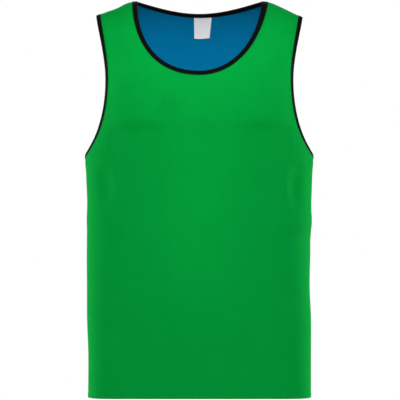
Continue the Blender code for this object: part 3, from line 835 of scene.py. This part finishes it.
def ring_stations(front_shape, back_shape, front, back, border):
    """Points and normals on the tape line and the cut edge, all the way round an opening."""
    rows = []
    for panel, shape, backwards in ((front, front_shape, False), (back, back_shape, True)):
        points, normals, _ = shape
        line, cut = panel.borders[border]
        order = list(range(len(line)))
        if backwards:
            order.reverse()
        for k in order[:-1]:
            rows.append((points[line[k]], normals[line[k]], points[cut[k]], normals[cut[k]]))
    for seam in (0, len(front.borders[border][0]) - 1):
        for vector in rows[seam]:
            vector[1] = 0.0
    return rows


def make_tape(name, rows, material):
    """Ring of folded tape over the edges of both panels."""
    sections = [tape_section(*row) for row in rows]
    size = len(sections[0])
    points = np.array(sections).reshape(-1, 3)
    centres = np.array([(row[0] + row[2]) / 2 for row in rows])
    steps = np.linalg.norm(np.diff(centres, axis=0), axis=1)
    length = np.concatenate(([0.0], np.cumsum(steps)))
    uv = np.stack((np.repeat(length, size), np.tile(np.arange(size) * 0.001, len(rows))), axis=-1)
    faces = []
    for k in range(len(sections)):
        here = k * size
        there = (k + 1) % len(sections) * size
        for n in range(size):
            m = (n + 1) % size
            faces.append((here + n, here + m, there + m, there + n))
    piece = add_piece(f"{name}_tape", points, facing_out(points, faces), material, uv)
    sharpen_rims(piece)
    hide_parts(name)
    return piece


def read_along(path, length, at):
    return np.stack([np.interp(at, length, path[:, axis]) for axis in range(3)], axis=-1)


def stitch_run(path, normals, pitch, gap, radius):
    """Row of short stitches round a closed path on the cloth, as points and faces."""
    path = np.concatenate((path, path[:1]))
    normals = np.concatenate((normals, normals[:1]))
    steps = np.linalg.norm(np.diff(path, axis=0), axis=1)
    length = np.concatenate(([0.0], np.cumsum(steps)))
    count = int(length[-1] / pitch)
    step = length[-1] / count
    shares = np.array([share for share, _ in STITCH_RINGS])
    swells = np.array([swell for _, swell in STITCH_RINGS])[None, :, None]
    at = (np.arange(count)[:, None] + gap / 2 + (1 - gap) * shares[None]) * step
    centre = read_along(path, length, at)
    along = unit(read_along(path, length, at + 0.0005) - read_along(path, length, at - 0.0005))
    up = unit(read_along(normals, length, at))
    across = np.cross(along, up)
    centre = centre + up * radius * (0.5 * swells - 0.2)
    angle = 2 * math.pi * np.arange(STITCH_SIDES)[None, None, :, None] / STITCH_SIDES
    spread = radius * swells[..., None]
    points = (centre[:, :, None] + across[:, :, None] * 1.25 * spread * np.cos(angle)
              + up[:, :, None] * spread * np.sin(angle)).reshape(-1, 3)
    rings = len(STITCH_RINGS)
    faces = []
    for base in range(0, len(points), rings * STITCH_SIDES):
        for ring in range(rings - 1):
            low = base + ring * STITCH_SIDES
            for corner in range(STITCH_SIDES):
                after = (corner + 1) % STITCH_SIDES
                faces.append((low + corner, low + after, low + STITCH_SIDES + after,
                              low + STITCH_SIDES + corner))
        faces.append(tuple(base + corner for corner in reversed(range(STITCH_SIDES))))
        faces.append(tuple(base + (rings - 1) * STITCH_SIDES + corner for corner in range(STITCH_SIDES)))
    return points, faces


def add_stitches(name, runs, material):
    """Join several runs of stitches into one piece."""
    points = []
    faces = []
    for run_points, run_faces in runs:
        offset = sum(len(block) for block in points)
        points.append(run_points)
        faces.extend(tuple(n + offset for n in face) for face in run_faces)
    piece = add_piece(name, np.concatenate(points), faces, material)
    return piece


def tape_stitches(name, rows, material):
    """Stitches near the edge of a folded tape, on its outer and its inner leg."""
    runs = []
    inside = -2 * LAYER_WALL - LAYER_GAP
    for height in (TAPE_GAP + TAPE_WALL, inside - TAPE_GAP - TAPE_WALL):
        path = np.array([row[0] * 0.8 + row[2] * 0.2 + row[1] * height for row in rows])
        normals = np.array([row[1] * math.copysign(1.0, height) for row in rows])
        runs.append(stitch_run(path, normals, 0.0032, 0.22, 0.00020))
    return add_stitches(name, runs, material)


def hem_stitches(front, back, front_shape, back_shape, material, inner_material):
    """Stitches round the hem, on the outside and on the inside."""
    row = HEM_ROWS.index(HEM_STITCH) + 1
    columns = 2 * STRAP_CELLS + NECK_CELLS + 1
    numbers = np.arange(columns) + row * columns
    path = np.concatenate((front_shape[0][numbers], back_shape[0][numbers][::-1]))
    normals = np.concatenate((front_shape[1][numbers], back_shape[1][numbers][::-1]))
    outer = stitch_run(path, normals, 0.0034, 0.25, 0.00020)
    depth = 2 * LAYER_WALL + LAYER_GAP
    inner = stitch_run(path - normals * depth, -normals, 0.0034, 0.25, 0.00020)
    return (add_stitches("hem_stitches_outer", [outer], material),
            add_stitches("hem_stitches_inner", [inner], inner_material))


def make_label(back, back_shape, material):
    """Bare woven label that hangs from the back neck binding, a little off the cloth at its lower end."""
    columns, rows = LABEL_CELLS
    line, _ = back.borders["neck"]
    neck_spots = np.array(back.spots)[line]
    neck_view = figure(neck_spots, BACK)
    entries = []
    for row in range(rows + 1):
        share = row / rows
        for column in range(columns + 1):
            place = column / columns - 0.5
            skew = -0.0010 * share
            x = LABEL_CENTRE + LABEL_WIDTH * place + skew
            top_up = np.interp(x, neck_view[:, 0], neck_spots[:, 1])
            lift = 0.0004 + 0.0022 * share ** 1.5 + 0.0009 * share * math.cos(2.4 * place + 0.4) ** 2
            entries.append((x, top_up, LABEL_LENGTH * share, lift))
    entries = np.array(entries)
    at_neck = np.stack((entries[:, 0], np.full(len(entries), BACK_NECK_BOTTOM)), axis=-1)
    around = spots_at(at_neck)[:, 0]
    top = np.stack((around, entries[:, 1]), axis=-1)
    speed = np.linalg.norm(slopes_at(top, BACK)[1], axis=-1)
    spots = np.stack((around, entries[:, 1] - entries[:, 2] / speed), axis=-1)
    normals = normals_at(spots, BACK)
    smooth = figure(spots, BACK)
    points = smooth + normals * relief(smooth)[:, None]
    points[:, 1] += SEAM_GAP / 2
    depth = 2 * LAYER_WALL + LAYER_GAP
    points -= normals * (depth + entries[:, 3])[:, None]
    quads = []
    for row in range(rows):
        for column in range(columns):
            corner = row * (columns + 1) + column
            quads.append((corner, corner + 1, corner + columns + 2, corner + columns + 1))
    shell, faces = wall(points, normals, quads, 0.0, -LABEL_WALL)
    uv = np.tile(np.stack((entries[:, 0], entries[:, 2]), axis=-1), (2, 1))
    piece = add_piece("neck_label_satin", shell, facing_out(shell, faces), material, uv)
    sharpen_rims(piece)
    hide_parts("neck_label")
    return piece


def make_garment():
    green = knit_material("green_knit", (0.0004, 0.310, 0.040, 1), (0.0003, 0.305, 0.0390, 1),
                          (0.0005, 0.315, 0.0408, 1), (0.0, 1.0, 0.15, 1))
    blue = knit_material("blue_knit", (0.0003, 0.175, 0.355, 1), (0.0003, 0.172, 0.348, 1),
                         (0.0004, 0.178, 0.362, 1), (0.0, 0.45, 1.0, 1))
    tape = tape_material()
    thread_black = thread_material("thread_black", (0.006, 0.006, 0.006, 1))
    thread_green = thread_material("thread_green", (0.002, 0.26, 0.038, 1))
    thread_blue = thread_material("thread_blue", (0.001, 0.13, 0.27, 1))
    front = make_panel(FRONT)
    back = make_panel(BACK)
    front_shape = front.shape()
    back_shape = back.shape()
    materials = {"outer": green, "inner": blue}
    front_outer, front_inner = make_layers(front, "front", materials)
    back_outer, back_inner = make_layers(back, "back", materials)
    hem_outer, hem_inner = hem_stitches(front, back, front_shape, back_shape, thread_green, thread_blue)
    for name, border, length in (("neck_binding", "neck", 0.76), ("armhole_binding_left", -1, 0.67),
                                 ("armhole_binding_right", 1, 0.67)):
        rows = ring_stations(front_shape, back_shape, front, back, border)
        ring = make_tape(name, rows, tape)
        stitches = tape_stitches(f"{name}_stitches", rows, thread_black)
    label = make_label(back, back_shape, label_material())


# Studio

def add_area_light(name, place, target, size, power, spread=180, shape="RECTANGLE"):
    data = bpy.data.lights.new(name, "AREA")
    data.shape = shape
    data.size, data.size_y = size
    data.energy = power
    data.spread = math.radians(spread)
    light = bpy.data.objects.new(name, data)
    light.location = place
    light.visible_camera = False
    aim = np.array(target) - np.array(place)
    light.rotation_euler = (math.atan2(math.hypot(aim[0], aim[1]), -aim[2]), 0.0,
                            math.atan2(aim[1], aim[0]) - QUARTER_TURN)
    bpy.context.scene.collection.objects.link(light)


def make_studio():
    scene = bpy.context.scene
    scene.view_settings.view_transform = "Standard"
    world = bpy.data.worlds.new("white_room")
    scene.world = world
    world.use_nodes = True
    nodes = world.node_tree.nodes
    links = world.node_tree.links
    fill = nodes["Background"]
    fill.inputs["Color"].default_value = (1.0, 1.0, 1.0, 1.0)
    fill.inputs["Strength"].default_value = 0.42
    backdrop = nodes.new("ShaderNodeBackground")
    backdrop.inputs["Color"].default_value = (1.0, 1.0, 1.0, 1.0)
    backdrop.inputs["Strength"].default_value = 1.0
    path = nodes.new("ShaderNodeLightPath")
    mix = nodes.new("ShaderNodeMixShader")
    links.new(path.outputs["Is Camera Ray"], mix.inputs["Fac"])
    links.new(fill.outputs["Background"], mix.inputs[1])
    links.new(backdrop.outputs["Background"], mix.inputs[2])
    links.new(mix.outputs["Shader"], nodes["World Output"].inputs["Surface"])

    add_area_light("key", (0.0, -1.30, 0.40), (0.0, 0.0, -0.24), (0.7, 0.4), 11.0)
    add_area_light("chest", (0.0, -1.05, 0.02), (0.0, 0.0, -0.10), (0.60, 0.15), 0.085, spread=14)
    add_area_light("middle", (0.0, -0.90, -0.30), (0.0, 0.0, -0.36), (0.13, 0.38), 0.013, spread=12, shape="ELLIPSE")
    add_area_light("side_left", (-1.4, 0.55, -0.52), (-0.2, 0.0, -0.52), (0.3, 0.8), 15.0)
    add_area_light("side_right", (1.4, 0.55, -0.52), (0.2, 0.0, -0.52), (0.3, 0.8), 15.0)
    add_area_light("back", (0.0, 2.2, 0.9), (0.0, 0.0, -0.35), (1.2, 0.8), 22.0)

    floor = bpy.data.meshes.new("floor")
    edge = [(3.2 * math.cos(a), 3.2 * math.sin(a), HEM_HEIGHT - 0.40) for a in np.linspace(0, 2 * math.pi, 97)[:-1]]
    floor.from_pydata(edge, [], [tuple(range(len(edge)))])
    floor.materials.append(new_material("floor_paint", (0.80, 0.80, 0.80, 1), 0.9)[0])
    floor_piece = bpy.data.objects.new("floor", floor)
    scene.collection.objects.link(floor_piece)


def make_camera():
    data = bpy.data.cameras.new("camera")
    data.sensor_width = 36.0
    data.lens = data.sensor_width * CAMERA_DISTANCE / (IMAGE_SIZE * PIXEL)
    camera = bpy.data.objects.new("camera", data)
    across = (IMAGE_SIZE / 2 - CENTRE_COLUMN) * PIXEL
    height = (SHOULDER_ROW - IMAGE_SIZE / 2) * PIXEL
    camera.location = (across, -CAMERA_DISTANCE, height)
    camera.rotation_euler = (QUARTER_TURN, 0.0, 0.0)
    bpy.context.scene.collection.objects.link(camera)
    bpy.context.scene.camera = camera


make_camera()
make_garment()
make_studio()
